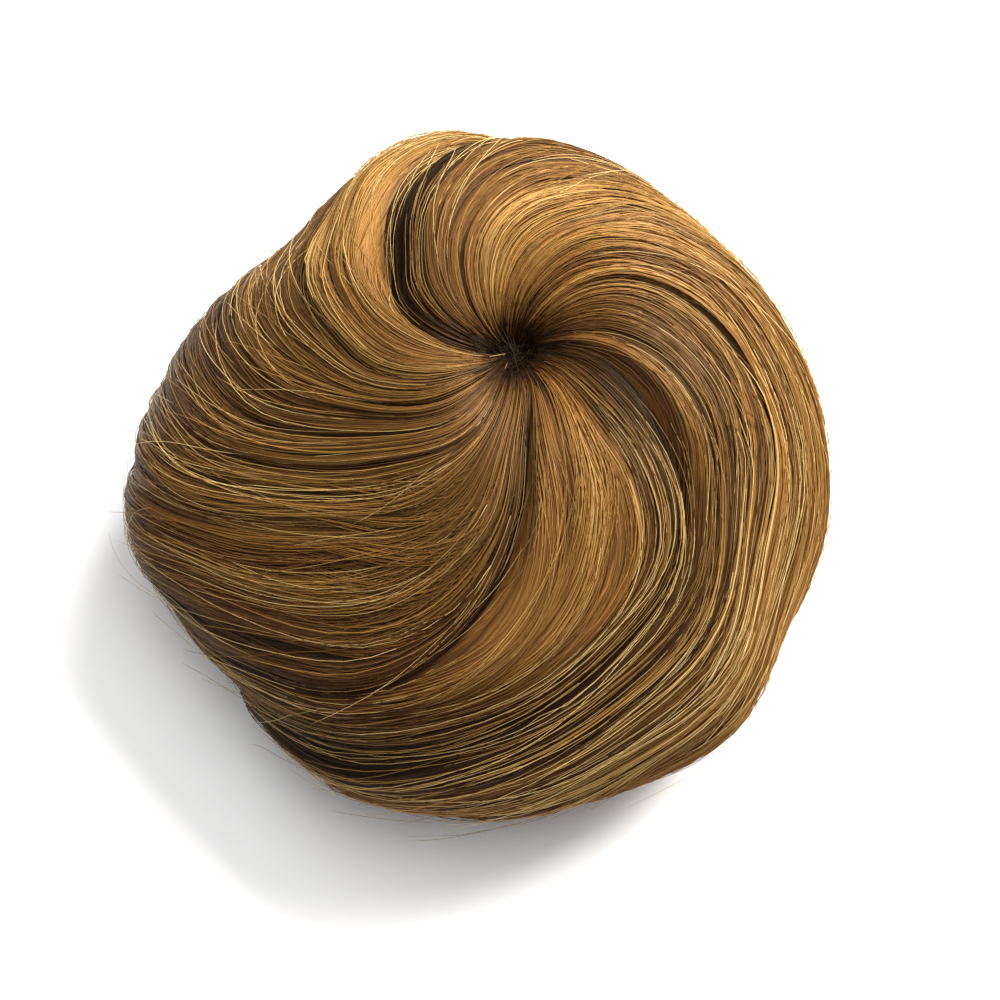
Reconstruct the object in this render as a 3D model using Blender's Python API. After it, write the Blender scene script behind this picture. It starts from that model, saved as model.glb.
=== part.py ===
"""Top knot hairpiece: a swirled bun of hair locks on a domed cap with a comb inside its rim.

Z is up, the bun lies on its cap rim at z = 0, and -Y is its front, the low edge in the photograph.
A place on the bun is given by s, an azimuth and a depth: s runs from 0 in the whorl over the rim (1)
to the ring that it rests on (2), the azimuth turns anticlockwise from +X, and the depth runs from
the cap (0) to the hair's even outer surface (1). All sizes are in millimetres and degrees.
"""
from collections import namedtuple
from math import atan2, cos, degrees, exp, pi, radians, sin, sqrt

import bmesh
import bpy
from mathutils import Vector

MM = 0.001

# Where the footprint's centre lies from the point that the outline is measured about
CENTRE_X = -0.01
CENTRE_Y = 1.24

# The whorl that all locks start from, the pit left open in it and the dip round it
WHORL_X = 6.0
WHORL_Y = 13.0
WHORL_HEIGHT = 56.0
WHORL_REACH = 0.35
PIT_RADIUS = 4.5
DIP_DEPTH = 7.0
DIP_REACH = 0.22

# How square the bun's shoulder is: 2 is an ellipse, more is squarer
SHOULDER = 2.2

# The domed cap that the hair is sewn to, with a thicker elastic rim
CAP_RADIUS = 34.0
CAP_HEIGHT = 36.0
CAP_WALL = 1.3
CAP_STEPS = 44
CAP_ROWS = 9
RIM_THICK = 3.0
RIM_TALL = 5.5
RIM_SLOPE = 1.6

# Clear space between the pieces, and the width of hair at the floor
HAIR_TO_CAP = 0.5
HAIR_TO_HAIR = 0.45
FOOT_WIDTH = 3.5

# The comb, sewn inside the rim at the front
COMB_ARC = 78.0
COMB_TEETH = 10
COMB_THICK = 1.6
COMB_BOTTOM = 1.0
COMB_SPINE = 4.0
COMB_TO_CAP = 0.4
TOOTH_LENGTH = 20.0
TOOTH_TIP = 0.6
TOOTH_STEPS = 5
COMB_AZIMUTH = -90.0

# The places where a lock has its sections, after its start: closer together where the hair turns
SECTIONS_AT = (0.08, 0.13, 0.19, 0.25, 0.31, 0.37, 0.43, 0.49, 0.55, 0.61, 0.66, 0.71, 0.755, 0.8,
               0.84, 0.88, 0.93, 0.985, 1.05, 1.14, 1.28, 1.48, 1.73, 2.0)
COLUMNS = 5

# Where the lifts of the locks begin and end, where the lower lifts take over from those near the
# whorl, and where they calm down at the rim and by how much
SOFT_START = 0.35
SOFT_END = 0.6
FALL_START = 0.48
FALL_END = 0.72
CALM = 0.7
CALM_START = 0.8
CALM_END = 1.1

# The bun seen from above
Outline = namedtuple("Outline", "azimuth radius rim_height crown_height")
OUTLINE = [
    Outline(0, 59.0, 25, 57),
    Outline(22, 58.2, 26, 58),
    Outline(45, 56.9, 27, 58),
    Outline(68, 58.2, 27, 57),
    Outline(92, 60.6, 26, 56),
    Outline(110, 57.8, 25, 55),
    Outline(126, 52.8, 24, 53),
    Outline(134, 52.6, 24, 52),
    Outline(150, 54.8, 24, 52),
    Outline(172, 57.2, 23, 53),
    Outline(189, 59.2, 22, 53),
    Outline(206, 55.2, 22, 53),
    Outline(225, 54.2, 22, 54),
    Outline(248, 57.8, 23, 55),
    Outline(272, 58.6, 24, 56),
    Outline(296, 58.8, 24, 57),
    Outline(314, 61.0, 24, 57),
    Outline(332, 58.2, 24, 57),
    Outline(350, 59.2, 24, 57),
]

# The locks in clockwise order. A lock starts at its own line, that turns clockwise through the
# azimuths given at the places TURNS_AT, and ends at the next lock's line. Its first, middle and last
# strands stand out from the even surface by the lifts near the whorl and by the lower lifts.
TURNS_AT = (0.0, 0.15, 0.3, 0.45, 0.6, 0.75, 0.9, 1.1, 2.0)
Lock = namedtuple("Lock", "name turns near low tone")
LOCKS = [
    Lock("crown", (222, 200, 168, 147, 130, 110, 97, 86, 78),
         (1.0, 2.0, 1.6), (0.6, 1.2, 0.8), 0.95),
    Lock("top", (196, 168, 143, 126, 111, 97, 85, 68, 46),
         (-3.2, -2.2, -0.6), (-1.8, -1.2, -0.2), 0.50),
    Lock("top_right", (170, 146, 120, 98, 84, 70, 56, 36, 8),
         (0.2, 0.8, -0.3), (0.4, 0.8, -0.2), 0.70),
    Lock("right_shoulder", (144, 114, 86, 69, 58, 46, 30, 6, -28),
         (0.4, 1.0, -0.3), (0.3, 0.8, -0.3), 0.80),
    Lock("right", (116, 84, 61, 52, 42, 28, 8, -22, -60),
         (0.3, 0.9, -0.3), (0.3, 0.8, -0.3), 0.75),
    Lock("lower_right", (88, 62, 45, 31, 13, -11, -38, -68, -97),
         (0.3, 0.9, -0.2), (0.2, 0.8, 0.0), 0.65),
    Lock("bottom_outer", (60, 43, 27, 10, -14, -44, -75, -104, -124),
         (0.3, 0.9, 0.2), (0.2, 0.9, 0.3), 0.60),
    Lock("bottom_inner", (34, 18, 1, -18, -43, -72, -99, -122, -142),
         (0.4, 1.2, 1.6), (0.6, 1.2, 1.0), 0.50),
    Lock("front_right", (8, -10, -21, -34, -58, -86, -111, -134, -156),
         (-3.4, -2.2, -0.4), (-3.0, -3.0, -2.4), 0.40),
    Lock("front", (-24, -42, -46, -56, -78, -105, -126, -145, -168),
         (0.4, 2.8, 2.4), (-2.2, -1.2, 0.6), 0.85),
    Lock("fan_low", (-58, -76, -82, -89, -102, -120, -138, -155, -180),
         (-2.4, -0.4, -0.4), (-1.2, 0.2, -0.2), 0.50),
    Lock("fan_middle", (-74, -88, -93, -107, -128, -150, -163, -174, -192),
         (0.2, 0.8, -0.4), (0.2, 0.7, -0.3), 0.60),
    Lock("fan_high", (-90, -98, -109, -136, -156, -172, -181, -190, -205),
         (0.3, 0.9, -0.5), (0.3, 0.8, -0.4), 0.65),
    Lock("left_lobe", (-106, -110, -138, -160, -177, -189, -198, -207, -222),
         (0.2, 0.6, -0.6), (0.1, 0.6, -0.4), 0.45),
    Lock("upper_left", (-122, -132, -163, -183, -200, -214, -226, -238, -252),
         (0.0, 0.2, -0.8), (0.0, 0.4, -0.6), 0.50),
]

HAIR_DARK = (0.115, 0.052, 0.020)
HAIR_LIGHT = (0.400, 0.205, 0.078)
CAP_COLOUR = (0.030, 0.018, 0.012)
COMB_COLOUR = (0.045, 0.024, 0.013)


def between(t, start, end, slope_start, slope_end):
    """A smooth value at a share t of the way from a start to an end, with the slope at both."""
    return ((2 * t - 3) * t * t + 1) * start + ((t - 2) * t + 1) * t * slope_start \
        + (3 - 2 * t) * t * t * end + (t - 1) * t * t * slope_end


def around(rows, azimuth, column):
    """A smooth value of one column of a table of rows that go once round by azimuth."""
    azimuth %= 360
    count = len(rows)
    after = next((i for i in range(count) if rows[i].azimuth > azimuth), count)
    near = []
    for i in range(after - 2, after + 2):
        row = rows[i % count]
        near.append((row.azimuth + 360 * (i // count), getattr(row, column)))
    (x0, y0), (x1, y1), (x2, y2), (x3, y3) = near
    span = x2 - x1
    t = (azimuth - x1) / span
    return between(t, y1, y2, (y2 - y0) / (x2 - x0) * span, (y3 - y1) / (x3 - x1) * span)


def smooth(x):
    """0 below 0, 1 above 1 and a soft step between."""
    x = min(max(x, 0.0), 1.0)
    return x * x * (3 - 2 * x)


def start_of_locks():
    """The value of s on the pit's edge."""
    mean_radius = sum(row.radius for row in OUTLINE) / len(OUTLINE)
    return degrees(atan2(1, sqrt((mean_radius / PIT_RADIUS) ** SHOULDER - 1))) / 90


def outer(s, azimuth):
    """A point of the even outer surface."""
    radius = around(OUTLINE, azimuth, "radius")
    rim = around(OUTLINE, azimuth, "rim_height")
    crown = around(OUTLINE, azimuth, "crown_height")
    way = Vector((cos(radians(azimuth)), sin(radians(azimuth)), 0))
    angle = pi / 2 * s
    if s > 1:
        foot = CAP_RADIUS + HAIR_TO_CAP + FOOT_WIDTH
        point = way * (foot + (radius - foot) * sin(angle))
        point.z = rim * (1 + cos(angle))
        return point
    out = sin(angle) ** (2 / SHOULDER)
    point = way * radius * out + Vector((WHORL_X, WHORL_Y, 0)) * (1 - out * out)
    height = rim + (crown - rim) * max(cos(angle), 0.0) ** (2 / SHOULDER)
    near = exp(-((out / WHORL_REACH) ** 2))
    point.z = height + (WHORL_HEIGHT - height) * near - DIP_DEPTH * exp(-((out / DIP_REACH) ** 2))
    return point


def inner(s, azimuth):
    """A point of the hair's inner surface, that keeps clear of the cap."""
    radius = CAP_RADIUS + HAIR_TO_CAP
    height = CAP_HEIGHT + HAIR_TO_CAP
    start = start_of_locks()
    pit = degrees(atan2(1, sqrt((radius / PIT_RADIUS) ** 2 - 1)))
    out = sin(radians(pit + (90 - pit) * (s - start) / (2 - start)))
    way = Vector((cos(radians(azimuth)), sin(radians(azimuth)), 0))
    point = way * radius * out + Vector((WHORL_X, WHORL_Y, 0)) * (1 - out)
    point.z = height * sqrt(max(0.0, 1 - point.xy.length_squared / radius ** 2))
    return point


def turn(lock, s):
    """The azimuth of a lock's line at s."""
    last = len(TURNS_AT) - 1
    i = next((k for k in range(1, last) if TURNS_AT[k] > s), last) - 1
    slopes = []
    for k in (i, i + 1):
        low, high = max(k - 1, 0), min(k + 1, last)
        slopes.append((lock.turns[high] - lock.turns[low]) / (TURNS_AT[high] - TURNS_AT[low]))
    span = TURNS_AT[i + 1] - TURNS_AT[i]
    return between((s - TURNS_AT[i]) / span, lock.turns[i], lock.turns[i + 1],
                   slopes[0] * span, slopes[1] * span)


def inset(surface, lock, s):
    """The angle that leaves half of the clear space beside a lock's line, square to the strands."""
    step = 0.004
    low = max(s - step, 0.0)
    high = min(s + step, 2.0)
    along = surface(high, turn(lock, high)) - surface(low, turn(lock, low))
    azimuth = turn(lock, s)
    across = surface(s, azimuth + 0.5) - surface(s, azimuth - 0.5)
    along.normalize()
    across -= along * across.dot(along)
    return HAIR_TO_HAIR / 2 / across.length


def lift(lock, s, share):
    """How far a strand stands out from the even surface, at its share of the lock's width."""
    fallen = smooth((s - FALL_START) / (FALL_END - FALL_START))
    first, middle, last = (near + (low - near) * fallen for near, low in zip(lock.near, lock.low))
    if share < 0.5:
        height = first + (middle - first) * smooth(share * 2)
    else:
        height = middle + (last - middle) * smooth(share * 2 - 1)
    calm = 1 - CALM * smooth((s - CALM_START) / (CALM_END - CALM_START))
    return height * calm * smooth(s / SOFT_START) * smooth((2 - s) / SOFT_END)


def section(lock, following, s):
    """The outer and the inner row of points of a lock at s, from its first to its last strand."""
    rows = []
    for surface in (outer, inner):
        first = turn(lock, s) - inset(surface, lock, s)
        last = turn(following, s) + inset(surface, following, s)
        rows.append([surface(s, first + (last - first) * i / COLUMNS) for i in range(COLUMNS + 1)])
    outside = []
    for i, (top, bottom) in enumerate(zip(*rows)):
        ray = top - bottom
        outside.append(top + ray.normalized() * lift(lock, s, i / COLUMNS))
    return outside, rows[1]


def lock_mesh(lock, following):
    """One lock as a closed solid lofted through its sections."""
    bm = bmesh.new()
    rings = []
    for s in (start_of_locks(), *SECTIONS_AT):
        rings.append([[bm.verts.new(p * MM) for p in row] for row in section(lock, following, s)])
    for (top, bottom), (next_top, next_bottom) in zip(rings, rings[1:]):
        for i in range(COLUMNS):
            for row, next_row in ((top, next_top), (bottom, next_bottom)):
                bm.faces.new((row[i], row[i + 1], next_row[i]))
                bm.faces.new((row[i + 1], next_row[i + 1], next_row[i]))
        for i in (0, COLUMNS):
            bm.faces.new((top[i], next_bottom[i], bottom[i]))
            bm.faces.new((top[i], next_top[i], next_bottom[i]))
    for top, bottom in (rings[0], rings[-1]):
        for i in range(COLUMNS):
            bm.faces.new((top[i], top[i + 1], bottom[i]))
            bm.faces.new((top[i + 1], bottom[i + 1], bottom[i]))
    return bm


def cap_mesh():
    """The cap: a thin dome with a thicker rim, turned about Z."""
    profile = []
    for i in range(CAP_ROWS + 1):
        angle = pi / 2 * i / CAP_ROWS
        profile.append((CAP_RADIUS * sin(angle), CAP_HEIGHT * cos(angle)))
    profile.append((CAP_RADIUS - RIM_THICK, 0.0))
    profile.append((CAP_RADIUS - RIM_THICK, RIM_TALL))
    low = RIM_TALL + RIM_SLOPE
    lowest = atan2(sqrt((CAP_HEIGHT - CAP_WALL) ** 2 - low ** 2), low)
    for i in range(CAP_ROWS + 1):
        angle = lowest * (1 - i / CAP_ROWS)
        profile.append(((CAP_RADIUS - CAP_WALL) * sin(angle), (CAP_HEIGHT - CAP_WALL) * cos(angle)))
    bm = bmesh.new()
    verts = [bm.verts.new((r * MM, 0, z * MM)) for r, z in profile]
    edges = [bm.edges.new(pair) for pair in zip(verts, verts[1:])]
    bmesh.ops.spin(bm, geom=verts + edges, cent=(0, 0, 0), axis=(0, 0, 1), angle=2 * pi,
                   steps=CAP_STEPS, use_merge=True)
    bmesh.ops.remove_doubles(bm, verts=bm.verts, dist=0.00001)
    bmesh.ops.dissolve_degenerate(bm, edges=bm.edges, dist=0.00001)
    return bm


def comb_mesh():
    """The comb, about +X: a curved spine with the teeth drawn up along the cap's inner wall."""
    outside = CAP_RADIUS - RIM_THICK - COMB_TO_CAP
    inside = outside - COMB_THICK
    cells = 2 * COMB_TEETH - 1
    pitch = radians(COMB_ARC) / cells
    top = COMB_BOTTOM + COMB_SPINE
    bm = bmesh.new()

    def point(radius, angle, height):
        return bm.verts.new((radius * cos(angle) * MM, radius * sin(angle) * MM, height * MM))

    def join(ring, following, sides):
        for i in sides:
            j = (i + 1) % 4
            bm.faces.new((ring[i], ring[j], following[j], following[i]))

    corners = ((outside, top), (inside, top), (inside, COMB_BOTTOM), (outside, COMB_BOTTOM))
    rings = []
    for i in range(cells + 1):
        angle = pitch * (i - cells / 2)
        rings.append([point(radius, angle, height) for radius, height in corners])
    bm.faces.new(rings[0])
    bm.faces.new(rings[-1])
    for i in range(cells):
        is_tooth = i % 2 == 0
        join(rings[i], rings[i + 1], (1, 2, 3) if is_tooth else (0, 1, 2, 3))
        if not is_tooth:
            continue
        middle_angle = pitch * (i + 0.5 - cells / 2)
        root = [rings[i][0], rings[i][1], rings[i + 1][1], rings[i + 1][0]]
        for step in range(1, TOOTH_STEPS + 1):
            share = step / TOOTH_STEPS
            height = top + TOOTH_LENGTH * share
            wall_height = CAP_HEIGHT - CAP_WALL
            wall = (CAP_RADIUS - CAP_WALL) * sqrt(1 - (height / wall_height) ** 2)
            thick = COMB_THICK * (1 - (1 - TOOTH_TIP) * share)
            wide = pitch * (1 - (1 - TOOTH_TIP) * share)
            out = min(outside, wall - COMB_TO_CAP * 2)
            places = ((out, -0.5), (out - thick, -0.5), (out - thick, 0.5), (out, 0.5))
            ring = [point(radius, middle_angle + side * wide, height) for radius, side in places]
            join(root, ring, (0, 1, 2, 3))
            root = ring
        bm.faces.new(root)
    bmesh.ops.triangulate(bm, faces=bm.faces)
    return bm


def mix(dark, light, share):
    """A colour between two, at a share of the way."""
    return tuple(a + (b - a) * share for a, b in zip(dark, light))


def make_material(name, colour, roughness):
    """A plain material of one colour."""
    material = bpy.data.materials.new(name)
    material.use_nodes = True
    shader = material.node_tree.nodes["Principled BSDF"]
    shader.inputs["Base Color"].default_value = (*colour, 1)
    shader.inputs["Roughness"].default_value = roughness
    material.diffuse_color = (*colour, 1)
    return material


def make_piece(name, bm, material, parent, smooth_to):
    """One named piece from its mesh, shaded smooth up to an angle and placed under the parent."""
    bmesh.ops.recalc_face_normals(bm, faces=bm.faces)
    mesh = bpy.data.meshes.new(name)
    bm.to_mesh(mesh)
    bm.free()
    mesh.materials.append(material)
    mesh.shade_smooth()
    mesh.set_sharp_from_angle(angle=radians(smooth_to))
    piece = bpy.data.objects.new(name, mesh)
    bpy.context.scene.collection.objects.link(piece)
    piece.parent = parent
    return piece


def main():
    for old in list(bpy.data.objects):
        bpy.data.objects.remove(old)
    hairpiece = bpy.data.objects.new("top_knot_hairpiece", None)
    hairpiece.location = (-CENTRE_X * MM, -CENTRE_Y * MM, 0)
    bpy.context.scene.collection.objects.link(hairpiece)

    for i, lock in enumerate(LOCKS):
        following = LOCKS[(i + 1) % len(LOCKS)]
        if i == len(LOCKS) - 1:
            following = following._replace(turns=tuple(azimuth - 360 for azimuth in following.turns))
        material = make_material("hair_" + lock.name, mix(HAIR_DARK, HAIR_LIGHT, lock.tone), 0.45)
        make_piece("lock_" + lock.name, lock_mesh(lock, following), material, hairpiece, 35)

    cap_material = make_material("cap_net", CAP_COLOUR, 0.9)
    make_piece("base_cap", cap_mesh(), cap_material, hairpiece, 40)
    comb_material = make_material("comb_plastic", COMB_COLOUR, 0.35)
    comb = make_piece("comb", comb_mesh(), comb_material, hairpiece, 40)
    comb.rotation_euler = (0, 0, radians(COMB_AZIMUTH))


main()
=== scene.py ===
from collections import namedtuple
from math import atan2, cos, degrees, pi, radians, sin, sqrt

import bmesh
import bpy
import numpy as np
from mathutils import Matrix, Vector


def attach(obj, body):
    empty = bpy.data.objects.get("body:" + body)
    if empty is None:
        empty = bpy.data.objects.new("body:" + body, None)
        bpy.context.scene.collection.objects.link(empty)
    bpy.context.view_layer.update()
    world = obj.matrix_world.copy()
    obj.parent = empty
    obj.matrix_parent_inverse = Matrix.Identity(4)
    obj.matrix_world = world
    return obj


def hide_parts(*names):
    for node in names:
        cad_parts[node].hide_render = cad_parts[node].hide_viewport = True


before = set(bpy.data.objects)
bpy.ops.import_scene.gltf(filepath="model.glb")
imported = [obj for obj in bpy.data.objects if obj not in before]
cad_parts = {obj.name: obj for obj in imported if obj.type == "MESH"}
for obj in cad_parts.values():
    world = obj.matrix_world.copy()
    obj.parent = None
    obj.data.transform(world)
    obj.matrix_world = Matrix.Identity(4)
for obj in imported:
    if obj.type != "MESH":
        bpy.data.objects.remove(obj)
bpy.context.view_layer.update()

bl_info = {
    "name": "Top knot hairpiece",
    "version": (1, 0, 0),
    "blender": (4, 5, 0),
    "location": "View3D > Sidebar > Top Knot",
    "description": "Dresses the packed top knot hairpiece with hair, a net cap and a comb",
    "category": "Object",
}

MM = 0.001

# The part's own sizes, in millimetres and degrees, as its source has them
CENTRE = np.array((-0.01, 1.24, 0.0))
WHORL = np.array((6.0, 13.0))
WHORL_HEIGHT = 56.0
WHORL_REACH = 0.35
PIT_RADIUS = 4.5
DIP_DEPTH = 7.0
DIP_REACH = 0.22
SHOULDER = 2.2
CAP_RADIUS = 34.0
CAP_HEIGHT = 36.0
CAP_WALL = 1.3
RIM_THICK = 3.0
RIM_TALL = 5.5
RIM_SLOPE = 1.6
HAIR_TO_CAP = 0.5
FOOT_WIDTH = 3.5
COMB_ARC = 78.0
COMB_TEETH = 10
COMB_THICK = 1.6
COMB_BOTTOM = 1.0
COMB_SPINE = 4.0
COMB_TO_CAP = 0.4
COMB_AZIMUTH = -90.0
SOFT_START = 0.35
SOFT_END = 0.6
FALL_START = 0.48
FALL_END = 0.72
CALM = 0.7
CALM_START = 0.8
CALM_END = 1.1

# The bun seen from above: azimuth, radius, height of the rim and height of the crown
OUTLINE = np.array([
    (0, 59.0, 25, 57),
    (22, 58.2, 26, 58),
    (45, 56.9, 27, 58),
    (68, 58.2, 27, 57),
    (92, 60.6, 26, 56),
    (110, 57.8, 25, 55),
    (126, 52.8, 24, 53),
    (134, 52.6, 24, 52),
    (150, 54.8, 24, 52),
    (172, 57.2, 23, 53),
    (189, 59.2, 22, 53),
    (206, 55.2, 22, 53),
    (225, 54.2, 22, 54),
    (248, 57.8, 23, 55),
    (272, 58.6, 24, 56),
    (296, 58.8, 24, 57),
    (314, 61.0, 24, 57),
    (332, 58.2, 24, 57),
    (350, 59.2, 24, 57),
], dtype=float)
RADIUS, RIM_HEIGHT, CROWN_HEIGHT = 1, 2, 3

# The places on the way from the whorl to the foot where each lock's turn is given
TURNS_AT = np.array((0, 0.15, 0.3, 0.45, 0.6, 0.75, 0.9, 1.1, 2.0))

# The locks in clockwise order, as in the part's source: the azimuths of the lock's first line, and
# how far its first, middle and last strands stand out near the whorl and low down. Then the tone of
# its hair from dark (0) to light (1), its warmth from ash (0) to copper (1) and its gaps' depth
Lock = namedtuple("Lock", "name turns near low tone warmth gaps")
LOCKS = [
    Lock("crown", (222, 200, 168, 147, 130, 110, 97, 86, 78),
         (1.0, 2.0, 1.6), (0.6, 1.2, 0.8), 0.58, 0.62, 0.8),
    Lock("top", (196, 168, 143, 126, 111, 97, 85, 68, 46),
         (-3.2, -2.2, -0.6), (-1.8, -1.2, -0.2), 0.40, 0.66, 1.0),
    Lock("top_right", (170, 146, 120, 98, 84, 70, 56, 36, 8),
         (0.2, 0.8, -0.3), (0.4, 0.8, -0.2), 0.48, 0.66, 0.8),
    Lock("right_shoulder", (144, 114, 86, 69, 58, 46, 30, 6, -28),
         (0.4, 1.0, -0.3), (0.3, 0.8, -0.3), 0.52, 0.68, 0.9),
    Lock("right", (116, 84, 61, 52, 42, 28, 8, -22, -60),
         (0.3, 0.9, -0.3), (0.3, 0.8, -0.3), 0.5, 0.68, 0.9),
    Lock("lower_right", (88, 62, 45, 31, 13, -11, -38, -68, -97),
         (0.3, 0.9, -0.2), (0.2, 0.8, 0.0), 0.46, 0.66, 0.8),
    Lock("bottom_outer", (60, 43, 27, 10, -14, -44, -75, -104, -124),
         (0.3, 0.9, 0.2), (0.2, 0.9, 0.3), 0.43, 0.62, 0.8),
    Lock("bottom_inner", (34, 18, 1, -18, -43, -72, -99, -122, -142),
         (0.4, 1.2, 1.6), (0.6, 1.2, 1.0), 0.38, 0.56, 0.8),
    Lock("front_right", (8, -10, -21, -34, -58, -86, -111, -134, -156),
         (-3.4, -2.2, -0.4), (-3.0, -3.0, -2.4), 0.34, 0.6, 0.9),
    Lock("front", (-24, -42, -46, -56, -78, -105, -126, -145, -168),
         (0.4, 2.8, 2.4), (-2.2, -1.2, 0.6), 0.52, 0.8, 0.9),
    Lock("fan_low", (-58, -76, -82, -89, -102, -120, -138, -155, -180),
         (-2.4, -0.4, -0.4), (-1.2, 0.2, -0.2), 0.42, 0.54, 1.2),
    Lock("fan_middle", (-74, -88, -93, -107, -128, -150, -163, -174, -192),
         (0.2, 0.8, -0.4), (0.2, 0.7, -0.3), 0.44, 0.52, 1.3),
    Lock("fan_high", (-90, -98, -109, -136, -156, -172, -181, -190, -205),
         (0.3, 0.9, -0.5), (0.3, 0.8, -0.4), 0.44, 0.5, 1.3),
    Lock("left_lobe", (-106, -110, -138, -160, -177, -189, -198, -207, -222),
         (0.2, 0.6, -0.6), (0.1, 0.6, -0.4), 0.38, 0.42, 1.0),
    Lock("upper_left", (-122, -132, -163, -183, -200, -214, -226, -238, -252),
         (0.0, 0.2, -0.8), (0.0, 0.4, -0.6), 0.42, 0.46, 0.9),
]
NAMES = [lock.name for lock in LOCKS]

# The lock that follows each one, and after the last the first one again, a full turn on
FOLLOWING = LOCKS[1:] + [LOCKS[0]._replace(turns=tuple(turn - 360 for turn in LOCKS[0].turns))]

# Valleys that the hair falls into within a lock: the stretch of s, the share of the width where
# each begins and ends, its width and its depth in millimetres
Valley = namedtuple("Valley", "lock begin end share_begin share_end width depth")
VALLEYS = [
    Valley("fan_low", 0.06, 0.60, 0.05, 0.02, 2.6, 2.0),
    Valley("top", 0.20, 0.85, 0.18, 0.24, 8.0, 1.4),
    Valley("bottom_inner", 0.36, 0.92, 1.0, 0.86, 9.0, 2.2),
    Valley("fan_middle", 0.40, 0.95, 0.02, 0.02, 2.0, 1.0),
    Valley("fan_high", 0.40, 1.00, 0.04, 0.04, 2.0, 1.0),
    Valley("front", 0.20, 0.62, 0.68, 0.60, 2.4, 1.2),
    Valley("front", 0.30, 0.80, 0.28, 0.34, 3.0, 1.0),
    Valley("fan_low", 0.55, 1.10, 0.55, 0.50, 3.0, 1.0),
    Valley("fan_middle", 0.35, 1.05, 0.58, 0.50, 2.4, 0.9),
    Valley("fan_high", 0.28, 1.00, 0.50, 0.56, 2.4, 1.0),
    Valley("left_lobe", 0.18, 0.95, 0.46, 0.54, 3.4, 1.1),
    Valley("upper_left", 0.18, 0.85, 0.40, 0.50, 3.6, 1.0),
    Valley("crown", 0.16, 0.60, 0.42, 0.36, 3.0, 0.9),
    Valley("top_right", 0.16, 0.80, 0.50, 0.40, 4.0, 1.0),
    Valley("right_shoulder", 0.25, 0.95, 0.46, 0.60, 4.4, 1.1),
    Valley("right", 0.38, 1.05, 0.40, 0.55, 4.4, 1.2),
    Valley("lower_right", 0.38, 1.05, 0.56, 0.44, 4.4, 1.3),
    Valley("bottom_outer", 0.40, 1.05, 0.48, 0.56, 4.0, 1.3),
]

# How wide the rounded last edge of a lock is where the next one lies lower, in millimetres
EDGE_ROUND = 2.2

# How much tone hair loses as painted shade beside a ledge for each millimetre of the ledge's
# height, and how far from it in millimetres. Then how much painted shade it gets for each
# millimetre of a valley's depth, and how much it gains as a painted highlight on its own edge
# above a ledge
LEDGE_SHADE = 0.06
LEDGE_REACH = 3.2
VALLEY_SHADE = 0.07
EDGE_LIGHT = 0.02

# Hairs that lie loose on a lock: where they begin and end, the tufts and the hairs in each
Loose = namedtuple("Loose", "lock begin finish tufts hairs")
LOOSE_ENDS = (
    Loose("bottom_outer", 0.46, 0.76, 4, 5),
    Loose("bottom_inner", 0.42, 0.66, 2, 5),
    Loose("lower_right", 0.66, 0.95, 5, 5),
    Loose("right", 0.30, 0.80, 5, 1),
    Loose("front_right", 0.25, 0.80, 7, 1),
    Loose("front", 0.15, 0.70, 8, 1),
    Loose("crown", 0.12, 0.50, 9, 1),
    Loose("top", 0.11, 0.45, 9, 1),
    Loose("top_right", 0.12, 0.50, 6, 1),
    Loose("fan_middle", 0.25, 0.80, 6, 1),
    Loose("fan_high", 0.15, 0.75, 7, 1),
    Loose("left_lobe", 0.12, 0.65, 8, 1),
    Loose("upper_left", 0.12, 0.60, 8, 1),
)

# The places where the width of a lock is measured
WIDTHS_AT = np.linspace(0.08, 1.92, 24)

# Painted light and shade on the hair of some locks, as tone added to or taken from it,
# at the places PAINTED_LIGHT_AND_SHADE_AT
PAINTED_LIGHT_AND_SHADE_AT = (0.1, 0.3, 0.5, 0.7, 0.9, 1.2)
PAINTED_LIGHT_AND_SHADE = {
    "top_right": (0.02, 0.04, 0.0, -0.04, -0.04, 0.0),
    "right_shoulder": (0.06, 0.07, 0.02, -0.03, -0.04, 0.0),
    "right": (0.08, 0.08, 0.03, 0.0, 0.0, 0.0),
    "top": (-0.20, -0.32, -0.38, -0.36, -0.18, 0.0),
    "front_right": (-0.02, -0.04, -0.12, -0.22, -0.26, -0.16),
    "bottom_inner": (0.04, 0.04, -0.08, -0.36, -0.36, -0.22),
    "bottom_outer": (0.06, 0.06, 0.02, -0.04, -0.12, -0.18),
    "lower_right": (0.08, 0.08, 0.04, 0.0, -0.04, -0.12),
    "front": (0.0, 0.16, 0.14, -0.26, -0.38, -0.24),
    "fan_low": (-0.08, -0.08, -0.06, -0.10, -0.14, -0.12),
    "fan_middle": (0.0, 0.06, 0.07, 0.04, 0.0, 0.0),
    "fan_high": (0.0, 0.07, 0.09, 0.06, 0.0, 0.0),
    "left_lobe": (0.0, 0.04, 0.0, -0.02, -0.04, -0.04),
    "crown": (-0.02, 0.05, 0.08, 0.08, 0.03, 0.0),
}

# The share of a fan lock's strands that come out of the crease beside the front lock, and where its
# first and its last ones do; each has turned into its bundle a little later
TUCKED = {
    "fan_low": (0.6, 0.62, 0.36),
    "fan_middle": (0.7, 0.40, 0.25),
    "fan_high": (0.6, 0.27, 0.12),
}
TUCKED_TURN = 0.24
CREASE = "fan_low"

# Where the longest strands end, and how many degrees and millimetres lie between a strand's points
HAIR_END = 1.96
BEND_A_POINT = 9.0
RUN_A_POINT = 11.0

# Each kind of piece draws from seeds of its own, so that a change to one leaves the others alone
MASS_SEED, STRAND_SEED, WHORL_SEED, LOOSE_SEED, FLYAWAY_SEED = 500, 1000, 2000, 3000, 4000
CLUMP_SEED_STEP = 31

# A bundle of strands that runs together through a lock
Clump = namedtuple("Clump", "centre width phase rate wander lift tone")


def linear(colour):
    """An sRGB hex colour as linear red, green, blue and a full alpha."""
    parts = [int(colour[i:i + 2], 16) / 255 for i in (1, 3, 5)]
    return tuple(c / 12.92 if c <= 0.04045 else ((c + 0.055) / 1.055) ** 2.4 for c in parts) + (1,)


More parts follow.
